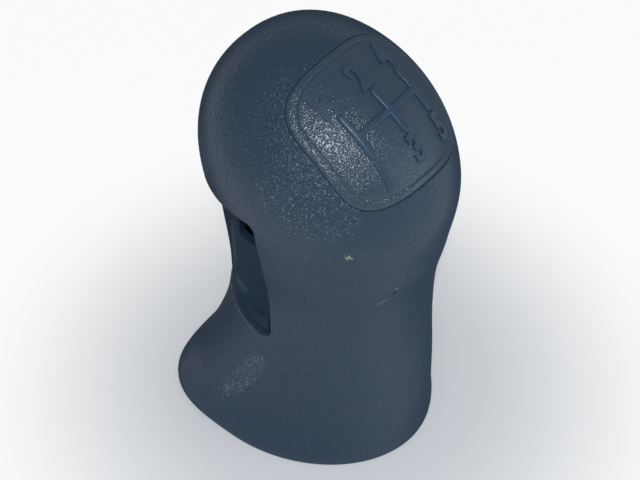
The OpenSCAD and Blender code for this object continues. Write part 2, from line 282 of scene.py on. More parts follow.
def body_points(angle, z, rim_h):
    """Points of the outside between the rim and the head at those angles and heights."""
    half_w, middle, front, rear, ff, rf = section_at(flare_height(z, rim_h))
    x, y = squared_oval(angle, half_w, middle, front - middle, rear + middle, ff, rf)
    return at_height(x, y, z)


def dome_value(points):
    """Below 0 inside the dome and above 0 outside it. With e the dome's fullness, the value is the
    oval radius to the e, plus the share of the rise to the e, minus 1."""
    up = points[..., 2] - HEAD_Z
    half_w, _, front, rear, ff, rf = SECTIONS[-1, 1:]
    y = points[..., 1] - HEAD_Y - DOME_LEAN * up
    p = np.where(y >= 0, ff, rf)
    reach = np.where(y >= 0, front - HEAD_Y, rear + HEAD_Y)
    oval = oval_size(points[..., 0] / half_w, y / reach, p)
    return oval ** DOME_FULLNESS + np.abs(up / DOME_RISE) ** DOME_FULLNESS - 1


def dome_hit(start, direction, near, far):
    """Where each ray leaves the dome, between those two distances along it."""
    near, far = (np.full(start.shape[:-1], float(end)) for end in (near, far))
    reach = last_inside(near, far, lambda at: dome_value(start + direction * at[..., None]) < 0)
    return start + direction * reach[..., None]


def cap_oval(angle, grown):
    """u and v of the cap's outline, grown by that much: a squared oval in the cap's plane."""
    return squared_oval(angle, CAP_HALF_W + grown, 0.0, CAP_HALF_L + grown, CAP_HALF_L + grown,
                        CAP_SQUARE, CAP_SQUARE)


def on_cap(u, v):
    """Points of the dome over u, v in the cap's plane."""
    plane = CAP_CENTRE + u[..., None] * CAP_RIGHT + v[..., None] * CAP_UP
    ray = np.broadcast_to(CAP_OUT, plane.shape)
    return dome_hit(plane - RAY_START * CAP_OUT, ray, 0, 2 * RAY_START)


def cap_distance(points, grown):
    """Distance in the cap's plane past the outline grown by that much, from the middle."""
    u = points @ CAP_RIGHT
    v = (points - CAP_CENTRE) @ CAP_UP
    ratio = oval_size(u / (CAP_HALF_W + grown), v / (CAP_HALF_L + grown), CAP_SQUARE)
    return np.hypot(u, v) * (1 - 1 / np.maximum(ratio, 1e-6))


def round_drop(distance, radius):
    """How far a round edge of that radius falls at that distance from it."""
    left = np.clip(radius - distance, 0, radius)
    return radius - np.sqrt(radius ** 2 - left ** 2)


def graded(radius, count):
    """Distances from an edge, close together over the radius and a little past it."""
    return radius * (1 - np.cos(np.linspace(0, np.pi / 2, count))) * 1.05


def quarter(radius, count):
    """Two legs of a rounded corner: one grows from 0 to the radius and the other falls to 0."""
    turn = np.linspace(0, np.pi / 2, count)[1:]
    return radius * (1 - np.cos(turn)), radius * (1 - np.sin(turn))


def grid_quads(rows, columns, closed):
    """Corner numbers of the cells of a grid of points, row after row."""
    r = np.arange(rows - 1)[:, None]
    c = np.arange(columns if closed else columns - 1)[None, :]
    a = r * columns + c
    b = r * columns + (c + 1) % columns
    return np.stack([a, b, b + columns, a + columns], -1)


def surface_normals(points, closed):
    """Unit normals of a grid of points, the cross product of its two directions."""
    around = np.roll(points, -1, 1) - np.roll(points, 1, 1) if closed else np.gradient(points, axis=1)
    return unit(np.cross(np.gradient(points, axis=0), around))


def outward(points, faces):
    """The same points and faces, turned over if the volume that they close comes out below 0. The
    volume is a sixth of the sum of each triangle's triple product."""
    faces = faces.reshape(-1, 4)
    a, b, c, d = np.moveaxis(points[faces], 1, 0)
    volume = (a * np.cross(b, c)).sum() + (a * np.cross(c, d)).sum()
    return points, faces[:, ::-1] if volume < 0 else faces


def full_turn(count):
    """Angles round a full turn."""
    return np.linspace(0, 2 * np.pi, count + 1)[:-1]


def closed_grid(points):
    """Points and faces of a grid whose rows are closed rings."""
    return outward(points.reshape(-1, 3), grid_quads(*points.shape[:2], True))


def thickened(outer, inner, quads):
    """Points and faces of a sheet with a wall: the outer faces, the inner ones turned over, and a
    strip along each open border edge. The points come as grids."""
    outer, inner = outer.reshape(-1, 3), inner.reshape(-1, 3)
    count = len(outer)
    quads = quads.reshape(-1, 4)
    edges = np.concatenate([quads[:, [0, 1]], quads[:, [1, 2]], quads[:, [2, 3]], quads[:, [3, 0]]])
    edges = edges[edges[:, 0] != edges[:, 1]]
    size = count + 1
    forward = edges[:, 0] * size + edges[:, 1]
    backward = edges[:, 1] * size + edges[:, 0]
    border = edges[~np.isin(forward, backward)]
    strip = np.stack([border[:, 1], border[:, 0], border[:, 0] + count, border[:, 1] + count], -1)
    faces = np.concatenate([quads, quads[:, ::-1] + count, strip])
    return outward(np.concatenate([outer, inner]), faces)


def new_object(name, data):
    """An object in the scene with that data."""
    obj = bpy.data.objects.new(name, data)
    bpy.context.scene.collection.objects.link(obj)
    return obj


def add_piece(name, points, faces, material, body, crease=40.0):
    """Puts points in mm and a list of faces into a mesh with smooth shading up to that angle, and
    lets the piece ride on its body."""
    mesh = bpy.data.meshes.new(name)
    mesh.from_pydata((points * MM).tolist(), [], faces)
    mesh.validate()
    mesh.shade_smooth()
    mesh.set_sharp_from_angle(angle=np.radians(crease))
    mesh.materials.append(material)
    obj = new_object(name, mesh)
    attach(obj, body)
    return obj


def make_piece(name, points, faces, material, body, slot):
    """The same from faces of four corners, without the points that no face uses."""
    used, flat = np.unique(faces, return_inverse=True)
    return add_piece(name, points[used], flat.reshape(-1, 4).tolist(), material, body)


def shell_rows(edge_r, rim_r):
    """Heights of the rows from the rim to the head, and the y of the window's edge at each, so a
    column of the grid runs along that edge and its round corners."""
    sill = SILL_Z - graded(edge_r, 7)[::-1]
    low = np.concatenate([graded(rim_r, 6), np.linspace(0.8, FLARE_TOP_Z, 12),
                          np.linspace(9.6, 34, 36), sill])
    sill_up, sill_back = quarter(SILL_CORNER, 9)
    brow_back, brow_up = quarter(BROW_CORNER, 9)
    neck = np.linspace(SILL_Z + SILL_CORNER, BROW_Z - BROW_CORNER, 46)[1:]
    brow = np.concatenate([BROW_Z + graded(edge_r, 7)[1:], [75.4, 76.2, HEAD_Z]])
    z = np.concatenate([low, SILL_Z + sill_up, neck, BROW_Z - brow_up, brow])
    behind = np.concatenate([np.full(len(low), SILL_CORNER), sill_back, np.zeros(len(neck)),
                             brow_back, np.full(len(brow), BROW_CORNER)])
    return z, WINDOW_Y + behind


def angle_at_y(outline, y):
    """Angles on the right side at which that outline has those y."""
    return last_inside(np.full(y.shape, 0.2), np.full(y.shape, 3.0),
                       lambda angle: outline(angle)[..., 1] > y)


def corner_distance(a, b, radius):
    """Distance outside a rounded corner. a and b are the distances past the middle of its radius
    in two directions: their length where both are above 0, and the larger one elsewhere."""
    return np.hypot(np.maximum(a, 0), np.maximum(b, 0)) + np.minimum(np.maximum(a, b), 0) - radius


def window_distance(y, z):
    """Distance outside the window's rounded outline in the side view, below 0 inside it."""
    middle = (SILL_Z + BROW_Z) / 2
    half = (BROW_Z - SILL_Z) / 2
    r = np.where(z < middle, SILL_CORNER, BROW_CORNER)
    return corner_distance(WINDOW_Y + r - y, np.abs(z - middle) - (half - r), r)


def shell_columns(edge, edge_r):
    """Angles of the columns from the front over the right side, for rows whose window edge lies at
    those angles, and how many lie inside the window on each side."""
    front = np.linspace(0, 1, 36)[None, :-1] * edge[:, None]
    near = graded(edge_r, 7) / NECK_R
    first = edge[:, None] + near[None, :]
    rest = np.linspace(0, 1, 56)[None, 1:]
    back = first[:, -1:] + rest * (np.pi - first[:, -1:])
    right = np.concatenate([front, first, back], 1)
    left = 2 * np.pi - right[:, 1:-1][:, ::-1]
    return np.concatenate([right, left], 1), front.shape[1]


def shell_sheet(sizes):
    """Points and faces of the shell's skin with its wall, without the window."""
    z, edge_y = shell_rows(sizes.edge_r, sizes.rim_r)
    edge = angle_at_y(lambda angle: body_points(angle, z, sizes.rim_h), edge_y)
    angles, inside = shell_columns(edge, sizes.edge_r)
    body = body_points(angles, z[:, None], sizes.rim_h)

    centre = np.array([0.0, HEAD_Y, HEAD_Z])
    ring = unit(body[-1] - centre)
    rim = unit(on_cap(*cap_oval(angles[-1], sizes.cap_gap)) - centre)
    near = graded(sizes.cap_edge_r, 7)[::-1] / HEAD_R
    share = np.concatenate([np.linspace(0, 1 - near[0], 54)[1:], 1 - near[1:]])[:, None, None]
    between = np.arccos(np.clip((ring * rim).sum(-1), -1, 1))[:, None]
    ray = (np.sin((1 - share) * between) * ring + np.sin(share * between) * rim) / np.sin(between)
    head = dome_hit(np.broadcast_to(centre, ray.shape), ray, 2, 60)

    outer = np.concatenate([body, head])
    normals = surface_normals(outer, True)
    flat = unit(normals * LEVEL)
    inner = outer - sizes.wall * np.where(outer[..., 2:] < HEAD_Z, flat, normals)
    inner[-1] = outer[-1] - sizes.wall * CAP_OUT

    drop = round_drop(window_distance(outer[..., 1], outer[..., 2]), sizes.edge_r)
    low = outer[..., 2] < HEAD_Z
    drop = np.maximum(np.where(low, drop, 0), round_drop(outer[..., 2], sizes.rim_r))
    recess = np.where(low, 0, round_drop(cap_distance(outer, sizes.cap_gap), sizes.cap_edge_r))
    shaped = outer - drop[..., None] * flat - recess[..., None] * CAP_OUT

    quads = grid_quads(*outer.shape[:2], True)
    sill, brow = np.searchsorted(z, [SILL_Z - 1e-6, BROW_Z - 1e-6])
    kept = np.ones(quads.shape[:2], bool)
    kept[sill:brow, :inside] = kept[sill:brow, -inside:] = False
    return thickened(shaped, inner, quads[kept])


def deck_piece(sizes):
    """Deck inside the head: a ring from the spigot's hole to the shell's wall, and to a round
    tongue in front of the window's edge."""
    angle = full_turn(120)
    x, y, _ = np.moveaxis(body_points(angle, np.full(angle.shape, DECK_Z), 0.0), -1, 0)
    reach = np.hypot(x, y) - sizes.wall - DECK_GAP
    direction = np.stack([x, y], -1) / np.hypot(x, y)[:, None]
    outline = np.where(direction[:, 1] * reach > WINDOW_Y, DECK_TONGUE_R, reach)
    hole = np.full(angle.shape, DECK_HOLE_R)
    radius = np.stack([hole, outline, outline, hole])
    height = DECK_Z + np.array([0.0, 0.0, DECK_T, DECK_T])[:, None]
    points = at_height(direction[:, 0] * radius, direction[:, 1] * radius, height)
    return closed_grid(np.concatenate([points, points[:1]]))


def box_points(x, y, z):
    """Corners and faces of an upright box between two values along each axis."""
    points = np.array([[x[i], y[j], z[k]] for k in (0, 1) for i, j in RECTANGLE])
    faces = np.array([[3, 2, 1, 0], [4, 5, 6, 7], [0, 1, 5, 4],
                      [1, 2, 6, 5], [2, 3, 7, 6], [3, 0, 4, 7]])
    return outward(points, faces)


def box_pair(x, y, z):
    """A box on the right and its mirror image on the left."""
    return [box_points(x, y, z), box_points((-x[1], -x[0]), y, z)]


def cap_sheet(sizes):
    """Points and faces of the cap: rings of its outline shrunk more and more, laid on the dome,
    with a round edge, a fine groove inside it, a wall down into the gap and a floor."""
    near = np.concatenate([graded(sizes.cap_edge_r, 7), np.linspace(0.8, 2.2, 15)])
    field = np.linspace(2.6, FIELD_INSET, 12)
    middle = np.linspace(0.85, 0.0, 12)
    inset = np.concatenate([near, field, np.full(len(middle), FIELD_INSET)])
    share = np.concatenate([np.ones(len(near) + len(field)), middle])
    angle = full_turn(240)
    u, v = cap_oval(angle[None, :], -inset[:, None])
    top = on_cap(u * share[:, None], v * share[:, None])
    groove = sizes.groove * np.exp(-((inset - sizes.groove_in) / GROOVE_SPREAD) ** 2)
    top = top - (round_drop(inset, sizes.cap_edge_r) + groove)[:, None, None] * CAP_OUT
    seam = on_cap(*cap_oval(angle[None, :], sizes.cap_gap + SEAM_UNDER))
    seam = seam - (sizes.seam_h + SEAM_UNDER) * CAP_OUT
    side = np.concatenate([seam - SEAM_WALL * CAP_OUT, seam, top[:1] - sizes.seam_h * CAP_OUT])
    under = on_cap(u[::-4] * share[::-4, None], v[::-4] * share[::-4, None])[:-1] - CAP_T * CAP_OUT
    return closed_grid(np.concatenate([under, side, top]))


def ridge(start, end, width, height):
    """Points and faces of a raised line on the cap from start to end. With d the distance from the
    line over half the width, its height is the root of 1 minus d to the 4."""
    r = width / 2
    start, end = np.array(start, dtype=float), np.array(end, dtype=float)
    length = np.linalg.norm(end - start)
    along = (end - start) / length
    cap = r * (1 - np.cos(np.linspace(0, np.pi / 2, 9)))
    body = np.linspace(0, length, max(int(length / 0.5), 3))
    station = np.concatenate([cap - r, body[1:-1], length + r - cap[::-1]])
    tail = np.maximum(np.maximum(-station, station - length), 0)
    half = np.sqrt(np.maximum(r ** 2 - tail ** 2, 1e-6))
    across = half[:, None] * np.cos(np.linspace(np.pi, 0, 13))[None, :]
    distance = np.hypot(tail[:, None], across) / r
    rise = height * np.sqrt(np.clip(1 - distance ** 4, 0, 1)) - 0.02
    u = start[0] + along[0] * station[:, None] - along[1] * across
    v = start[1] + along[1] * station[:, None] + along[0] * across
    base = on_cap(u, v)
    top = base + rise[..., None] * CAP_OUT
    floor = base - LINE_SINK * CAP_OUT
    return thickened(top, floor, grid_quads(*u.shape, False))


def trigger_outline(angle, z, flare):
    """Points of the trigger's outer face: a squared oval for the plate in front with straight
    sides behind it, which widens to the wings as flare goes from 0 to 1."""
    part = np.clip((z - LEAN_LOW_Z) / (LEAN_TOP_Z - LEAN_LOW_Z), 0, 1)
    lean = PLATE_LEAN * (1 - np.cos(np.pi * part)) / 2
    half_w = TRIGGER_HALF_W + (WING_HALF_W - TRIGGER_HALF_W) * flare
    middle = PLATE_Y + (WING_Y - PLATE_Y) * flare
    fullness = PLATE_FULLNESS + (WING_FULLNESS - PLATE_FULLNESS) * flare
    x, y = squared_oval(angle, half_w, middle, TRIGGER_FRONT + lean - middle, middle + SIDE_REACH,
                        fullness, SIDE_FULLNESS)
    return at_height(x, y, z)


def trigger_rows(sizes):
    """Height, flare and edge y of each row of the trigger, and how many lie below the notch. The
    rows run from under the wings round their edge, down the finger rest and up the sides."""
    spread = WING_HALF_W - TRIGGER_HALF_W
    turn = np.linspace(0, np.pi / 2, 7)
    foot, lip = WING_FOOT_R, WING_LIP_R
    shelf = np.arccos(1 - (spread - lip) / spread)
    edge_z = REST_Z + FINGER_R * (1 - np.sin(shelf))
    rest = np.linspace(shelf, 0, 16)[1:]
    out = np.concatenate([
        spread - foot + foot * np.sin(turn), [spread, spread], spread - lip + lip * np.cos(turn),
        spread * (1 - np.cos(rest)),
    ])
    z = np.concatenate([
        WING_Z + foot - foot * np.cos(turn), [WING_Z + 1.0, WING_Z + 1.8],
        edge_z - lip + lip * np.sin(turn), REST_Z + FINGER_R * (1 - np.sin(rest)),
    ])
    top = SIDE_TOP_Z - graded(sizes.trigger_edge_r, 6)[::-1]
    side = np.concatenate([np.linspace(REST_Z + FINGER_R + 0.8, SIDE_TOP_Z - 0.9, 14), top])
    notch_up, notch_in = quarter(NOTCH_R, len(turn))
    plate = np.linspace(SIDE_TOP_Z + NOTCH_R, PLATE_TOP_Z, 30)[1:]
    heights = np.concatenate([z, side, SIDE_TOP_Z + notch_up, plate])
    flare = np.concatenate([out / spread, np.zeros(len(heights) - len(out))])
    low = len(z) + len(side)
    inwards = np.concatenate([np.full(low, NOTCH_R), notch_in, np.zeros(len(plate))])
    return heights, flare, PLATE_EDGE_Y - inwards, low


def trigger_sheet(sizes):
    """Points and faces of the trigger with its wall, without the part above the sides. Columns run
    from the front to the side's rear end on the right and on the left."""
    z, flare, edge_y, low = trigger_rows(sizes)
    near = (graded(sizes.trigger_edge_r, 6) / PLATE_R)[::-1]
    behind_count = 12

    def angle_for(y, widen):
        wanted = np.broadcast_to(y, z.shape)
        return angle_at_y(lambda angle: trigger_outline(angle, z, widen), wanted)[:, None]

    def right_side(widen):
        edge = angle_for(edge_y, widen)
        stop = angle_for(WING_REAR_Y, widen)
        bare = angle_for(WING_REAR_Y, 0.0)
        end = angle_for(SIDE_REAR_Y, 0.0)
        first = np.linspace(0, 1, 34)[None, :] * (edge - near[0])
        graded_part = edge - near[None, 1:]
        side = edge + np.linspace(0, 1, 22)[None, 1:] * (stop - edge)
        rear = bare + np.linspace(0, 1, behind_count)[None, :] * (end - bare)
        ahead = np.concatenate([first, graded_part, side], 1)
        front = trigger_outline(ahead, z[:, None], widen[:, None])
        behind = trigger_outline(rear, z[:, None], 0.0)
        return np.concatenate([front, behind], 1), first.shape[1] + graded_part.shape[1] - 1

    outer, edge_column = right_side(flare)
    plain, _ = right_side(np.zeros_like(flare))
    columns = outer.shape[1]

    def normals_of(points):
        parts = np.split(points, [columns - behind_count], axis=1)
        return np.concatenate([surface_normals(part, False) for part in parts], 1)

    normals = normals_of(outer)
    inner = plain - TRIGGER_WALL * normals_of(plain) * LEVEL
    distance = corner_distance(outer[..., 1] - (PLATE_EDGE_Y - NOTCH_R),
                               SIDE_TOP_Z + NOTCH_R - outer[..., 2], NOTCH_R)
    drop = round_drop(distance, sizes.trigger_edge_r)
    drop = np.maximum(drop, round_drop(PLATE_TOP_Z - outer[..., 2], PLATE_TOP_R))
    outer = outer - drop[..., None] * normals

    mirror = np.array([-1.0, 1.0, 1.0])
    outer = np.concatenate([outer[:, :0:-1] * mirror, outer], 1)
    inner = np.concatenate([inner[:, :0:-1] * mirror, inner], 1)
    quads = grid_quads(*outer.shape[:2], False)
    kept = np.ones(quads.shape[:2], bool)
    kept[low - 1:, :columns - 1 - edge_column] = kept[low - 1:, columns - 1 + edge_column:] = False
    return thickened(outer, inner, quads[kept])


def joined(parts):
    """One set of points and faces from several."""
    counts = np.cumsum([0] + [len(points) for points, _ in parts[:-1]])
    points = np.concatenate([points for points, _ in parts])
    faces = np.concatenate([faces + count for (_, faces), count in zip(parts, counts)])
    return points, faces


def lathe(radii, heights):
    """Points and faces of a ring round the lever's axis, between two radii and two heights."""
    turn = full_turn(96)
    r, z = np.array([[radii[i], heights[j]] for i, j in RECTANGLE + RECTANGLE[:1]]).T[..., None]
    return closed_grid(at_height(r * np.cos(turn), r * np.sin(turn), z))


def figure_mesh(text, u, v, height, rise):
    """Points and faces of one raised figure, centred on u, v of the cap: a flat letter whose points
    are moved onto the dome."""
    curve = bpy.data.curves.new("figure", "FONT")
    curve.body = text
    for setting, value in FIGURE_BODY.items():
        setattr(curve, setting, value)
    holder = new_object("figure", curve)
    mesh = holder.evaluated_get(bpy.context.evaluated_depsgraph_get()).to_mesh()
    points = np.empty((len(mesh.vertices), 3))
    mesh.vertices.foreach_get("co", points.ravel())
    faces = [list(face.vertices) for face in mesh.polygons]
    holder.to_mesh_clear()
    bpy.data.objects.remove(holder)
    bpy.data.curves.remove(curve)
    low, high = points.min(0), points.max(0)
    scale = height / (high[1] - low[1])
    middle = (low + high) / 2
    flat_u = u + (points[:, 0] - middle[0]) * scale * FIGURE_NARROW
    flat_v = v + (points[:, 1] - middle[1]) * scale
    lift = (points[:, 2] - low[2]) / (high[2] - low[2]) * (rise + FIGURE_SINK) - FIGURE_SINK
    return on_cap(flat_u, flat_v) + lift[:, None] * CAP_OUT, faces


def node_group(name, inputs, output):
    """An empty shader node group with those inputs, each a name and a value, and that output."""
    group = bpy.data.node_groups.new(name, "ShaderNodeTree")
    for label, value in inputs.items():
        kind = "NodeSocketVector" if isinstance(value, tuple) else "NodeSocketFloat"
        group.interface.new_socket(label, in_out="INPUT", socket_type=kind).default_value = value
    group.interface.new_socket(output, in_out="OUTPUT", socket_type="NodeSocketFloat")
    return group, group.nodes.new("NodeGroupInput").outputs, group.nodes.new("NodeGroupOutput")


def feed(tree, node, inputs):
    """Gives inputs of a node their values, or links those that are sockets."""
    for key, value in inputs.items():
        if isinstance(value, bpy.types.NodeSocket):
            tree.links.new(value, node.inputs[key])
        else:
            node.inputs[key].default_value = value


def add_node(tree, kind, inputs, **settings):
    """A node of that kind with its settings and inputs."""
    node = tree.nodes.new(kind)
    for name, value in settings.items():
        setattr(node, name, value)
    feed(tree, node, inputs)
    return node


def maths(tree, operation, first, second):
    """A Math node. Each input is a number or a socket."""
    return add_node(tree, "ShaderNodeMath", {0: first, 1: second}, operation=operation).outputs[0]


def vectors(tree, operation, inputs):
    """What a Vector Math node gives: a number for LENGTH and a vector for the others."""
    node = add_node(tree, "ShaderNodeVectorMath", inputs, operation=operation)
    return node.outputs["Value" if operation == "LENGTH" else "Vector"]


def ramp(tree, value, low, high, to_low=0.0, to_high=1.0):
    """A smooth Map Range node from low and high to two other values."""
    inputs = {"Value": value, "From Min": low, "From Max": high, "To Min": to_low, "To Max": to_high}
    node = add_node(tree, "ShaderNodeMapRange", inputs, interpolation_type="SMOOTHSTEP")
    return node.outputs["Result"]


def grain_group(name):
    """Moulded leather grain: rounded cells of uneven size with creases between them. Height is
    near 1 on a cell and 0 in a crease."""
    inputs = {"Vector": ZERO, "Cells per metre": 1200.0, "Unevenness": 0.3}
    group, given, result = node_group(name, inputs, "Height")
    where, scale = given["Vector"], given["Cells per metre"]
    bend = add_node(group, "ShaderNodeTexNoise", {"Vector": where, "Scale": scale, "Detail": 2.0})
    reach = maths(group, "DIVIDE", given["Unevenness"], scale)
    shift = vectors(group, "SCALE", {0: bend.outputs["Color"], "Scale": reach})
    moved = vectors(group, "ADD", {0: where, 1: shift})
    cells = add_node(group, "ShaderNodeTexVoronoi",
                     {"Vector": moved, "Scale": scale, "Smoothness": 0.25}, feature="SMOOTH_F1")
    fine = add_node(group, "ShaderNodeTexNoise",
                    {"Vector": moved, "Scale": maths(group, "MULTIPLY", scale, 2.2), "Detail": 3.0})
    dome = ramp(group, cells.outputs["Distance"], 0.0, 0.75, 1.0, 0.0)
    height = maths(group, "ADD", maths(group, "MULTIPLY", dome, 0.8),
                   maths(group, "MULTIPLY", fine.outputs["Fac"], 0.4))
    feed(group, result, {"Height": height})
    return group


def tone_group(name):
    """Slow uneven tone of a handled surface, between 0 and 1."""
    inputs = {"Vector": ZERO, "Patches per metre": 60.0}
    group, given, result = node_group(name, inputs, "Tone")
    noise = add_node(group, "ShaderNodeTexNoise",
                     {"Vector": given["Vector"], "Scale": given["Patches per metre"],
                      "Detail": 4.0, "Roughness": 0.6})
    feed(group, result, {"Tone": ramp(group, noise.outputs["Fac"], 0.3, 0.7)})
    return group


def spot_group(name):
    """A soft oval spot: 1 at Place and 0 from one half size away. Turn lays its long side, and
    Raggedness is how far, in metres, noise pushes its edge about."""
    inputs = {"Vector": ZERO, "Place": ZERO, "Turn": ZERO, "Half size": (1, 1, 1),
              "Raggedness": 0.0}
    group, given, result = node_group(name, inputs, "Mask")
    where = given["Vector"]
    noise = add_node(group, "ShaderNodeTexNoise", {"Vector": where, "Scale": 1600.0, "Detail": 1.0})
    centred = vectors(group, "SUBTRACT", {0: noise.outputs["Color"], 1: (0.5, 0.5, 0.5)})
    push = vectors(group, "SCALE", {0: centred, "Scale": given["Raggedness"]})
    pushed = vectors(group, "ADD", {0: where, 1: push})
    away = vectors(group, "SUBTRACT", {0: pushed, 1: given["Place"]})
    turned = add_node(group, "ShaderNodeVectorRotate", {"Vector": away, "Rotation": given["Turn"]},
                      rotation_type="EULER_XYZ", invert=True)
    shares = vectors(group, "DIVIDE", {0: turned.outputs[0], 1: given["Half size"]})
    away = vectors(group, "LENGTH", {0: shares})
    feed(group, result, {"Mask": ramp(group, away, 0.55, 1.0, 1.0, 0.0)})
    return group


def new_material(name):
    """A node material with its Principled shader and Object coordinates."""
    material = bpy.data.materials.new(name)
    material.use_nodes = True
    tree = material.node_tree
    place = tree.nodes.new("ShaderNodeTexCoord").outputs["Object"]
    return material, tree, tree.nodes["Principled BSDF"], place


def placed(tree, name, place, **values):
    """What the node group of that name gives at those coordinates, for those values."""
    group = bpy.data.node_groups.get(name) or GROUPS[name](name)
    inputs = {label.replace("_", " "): value for label, value in values.items()}
    return add_node(tree, "ShaderNodeGroup", {"Vector": place, **inputs}, node_tree=group).outputs[0]


def blended(tree, mask, first, second):
    """A colour that goes from first to second as mask goes from 0 to 1."""
    first, second = [(*end, 1.0) if isinstance(end, tuple) else end for end in (first, second)]
    node = add_node(tree, "ShaderNodeMix", {0: mask, 6: first, 7: second}, data_type="RGBA")
    return node.outputs[2]


def bumped(tree, height, strength, distance, below=None):
    """A Bump node of that strength and distance in metres over that height."""
    inputs = {"Height": height, "Strength": strength, "Distance": distance}
    if below is not None:
        inputs["Normal"] = below
    return add_node(tree, "ShaderNodeBump", inputs).outputs["Normal"]


def shade(colour, factor):
    """The colour made lighter or darker."""
    return tuple(min(part * factor, 1.0) for part in colour)


def duller_at_rim(tree, shader, gloss, top, start=0.35):
    """Feed that roughness to the shader. It rises to top where the surface turns away from the
    eye, as on a fine texture, over half of the facing scale from start on."""
    weight = tree.nodes.new("ShaderNodeLayerWeight")
    turned = ramp(tree, weight.outputs["Facing"], start, start + 0.5)
    mix = add_node(tree, "ShaderNodeMix", {0: turned, 2: gloss, 3: top})
    feed(tree, shader, {"Roughness": mix.outputs[0]})


def spot_mask(tree, place, label, where, turn, size, ragged):
    """The mask of one spot. Its place, half size and raggedness are in mm."""
    mask = placed(tree, "Soft spot", place, Place=Vector(where) * MM, Turn=turn,
                  Half_size=Vector(size) * MM, Raggedness=ragged * MM)
    mask.node.label = label
    return mask


def lay_marks_and_highlights(tree, shader, place, paint, normal, marks_and_highlights):
    """Feed that colour and normal to the shader, with marks of use and painted highlights laid over
    them.
    """
    for label, where, turn, size, colour, rise, ragged in marks_and_highlights:
        mask = spot_mask(tree, place, label, where, turn, size, ragged)
        paint = blended(tree, mask, paint, colour)
        if rise:
            normal = bumped(tree, mask, MARK_STRENGTH, rise, normal)
    feed(tree, shader, {"Base Color": paint, "Normal": normal})


def grained_plastic(name, colour, pitch, strength, gloss, rim, marks_and_highlights=(), painted_glint_patches=()):
    """Grained plastic: creases darker than the cells, slow patches of tone and gloss, marks of use
    with painted highlights among them, and patches of grains painted bright as glints of the lamp, a
    painted highlight. It gets duller from rim on, as it turns away."""
    material, tree, shader, place = new_material(name)
    feed(tree, shader, {"Specular IOR Level": gloss})
    grain = placed(tree, "Moulded grain", place, Cells_per_metre=1 / (pitch * MM), Unevenness=0.5)
    tone = placed(tree, "Uneven tone", place, Patches_per_metre=70.0)
    base = blended(tree, grain, shade(colour, 0.86), shade(colour, 1.1))
    lifted = blended(tree, tone, shade(colour, 0.93), shade(colour, 1.07))
    paint = blended(tree, 0.5, base, lifted)
    glint_speckle = placed(tree, "Uneven tone", place, Patches_per_metre=GLINT_SPECKLES_PER_METRE)
    # each patch paints grains bright: a painted highlight for the lamp's glints on the grain
    for label, where, turn, size, share in painted_glint_patches:
        mask = spot_mask(tree, place, label, where, turn, size, GLINT_PATCH_RAGGED)
        painted_glint = maths(tree, "ADD", glint_speckle, maths(tree, "MULTIPLY", mask, share))
        paint = blended(tree, ramp(tree, painted_glint, 1.05, 1.14), paint, PAINTED_GLINT_COLOUR)
    lay_marks_and_highlights(tree, shader, place, paint, bumped(tree, grain, strength, GRAIN_DEPTH), marks_and_highlights)
    duller_at_rim(tree, shader, ramp(tree, tone, 0.0, 1.0, 0.19, 0.26), 1.0, rim)
    return material


def plain_finish(name, colour, roughness, patches, strength, gloss=0.5, metallic=0.0, marks_and_highlights=()):
    """Smooth plastic or metal: slow patches of tone, a finely uneven gloss, and marks laid over them,
    such as painted highlights along an edge.
    """
    material, tree, shader, place = new_material(name)
    feed(tree, shader, {"Specular IOR Level": gloss, "Metallic": metallic})
    tone = placed(tree, "Uneven tone", place, Patches_per_metre=patches)
    fine = placed(tree, "Uneven tone", place, Patches_per_metre=patches * 12)
    paint = blended(tree, tone, shade(colour, 0.92), shade(colour, 1.08))
    lay_marks_and_highlights(tree, shader, place, paint, bumped(tree, fine, strength, SMOOTH_DEPTH), marks_and_highlights)
    uneven = ramp(tree, fine, 0.0, 1.0, roughness - 0.04, roughness + 0.05)
    duller_at_rim(tree, shader, uneven, roughness + 0.1 if metallic else 1.0)
    return material


def finish(name):
    """The material of that name, made when a piece first asks for it."""
    if name in bpy.data.materials:
        return bpy.data.materials[name]
    colours = bpy.context.scene.knob_colours
    pitch = bpy.context.scene.knob_sizes.grain_pitch
    if name == "Grained shell":
        return grained_plastic(name, colours.shell, pitch, strength=0.85, gloss=0.25, rim=0.35,
                               marks_and_highlights=SHELL_MARKS_AND_HIGHLIGHTS, painted_glint_patches=PAINTED_GLINT_PATCHES)
    if name == "Grained cap":
        return grained_plastic(name, colours.shell, pitch * CAP_GRAIN, strength=0.42, gloss=0.6,
                               rim=0.15)
    plain = {
        # the trigger's marks are painted highlights along its edges
        "Smooth trigger": dict(colour=colours.trigger, roughness=0.5, patches=80.0, strength=0.2,
                               gloss=0.08, marks_and_highlights=TRIGGER_EDGE_HIGHLIGHTS),
        # the pattern is painted lighter than the shell: partly smooth wear, partly a painted
        # highlight for light on its raised tops
        "Worn pattern with painted highlight": dict(colour=shade(colours.shell, 1.2), roughness=0.34, patches=200.0,
                             strength=0.3, gloss=0.3),
        "Moulded core": dict(colour=colours.core, roughness=0.5, patches=90.0, strength=0.2),
        "Zinc steel": dict(colour=colours.steel, roughness=0.32, patches=120.0, strength=0.3,
                           metallic=1.0),
    }
    return plain_finish(name, **plain[name])


GROUPS = {"Moulded grain": grain_group, "Uneven tone": tone_group, "Soft spot": spot_group}
ZERO = (0.0, 0.0, 0.0)

# Depths in metres of the grain and of a smooth face's unevenness, strength of a mark's relief,
# size of the cap's grain as a share of the shell's, and the grains of a glint patch, painted bright
# as a painted highlight.
GRAIN_DEPTH = 0.0002
SMOOTH_DEPTH = 0.00002
MARK_STRENGTH = 0.8
CAP_GRAIN = 0.62
GLINT_SPECKLES_PER_METRE = 2400.0
PAINTED_GLINT_COLOUR = (0.14, 0.18, 0.22)
GLINT_PATCH_RAGGED = 2.0
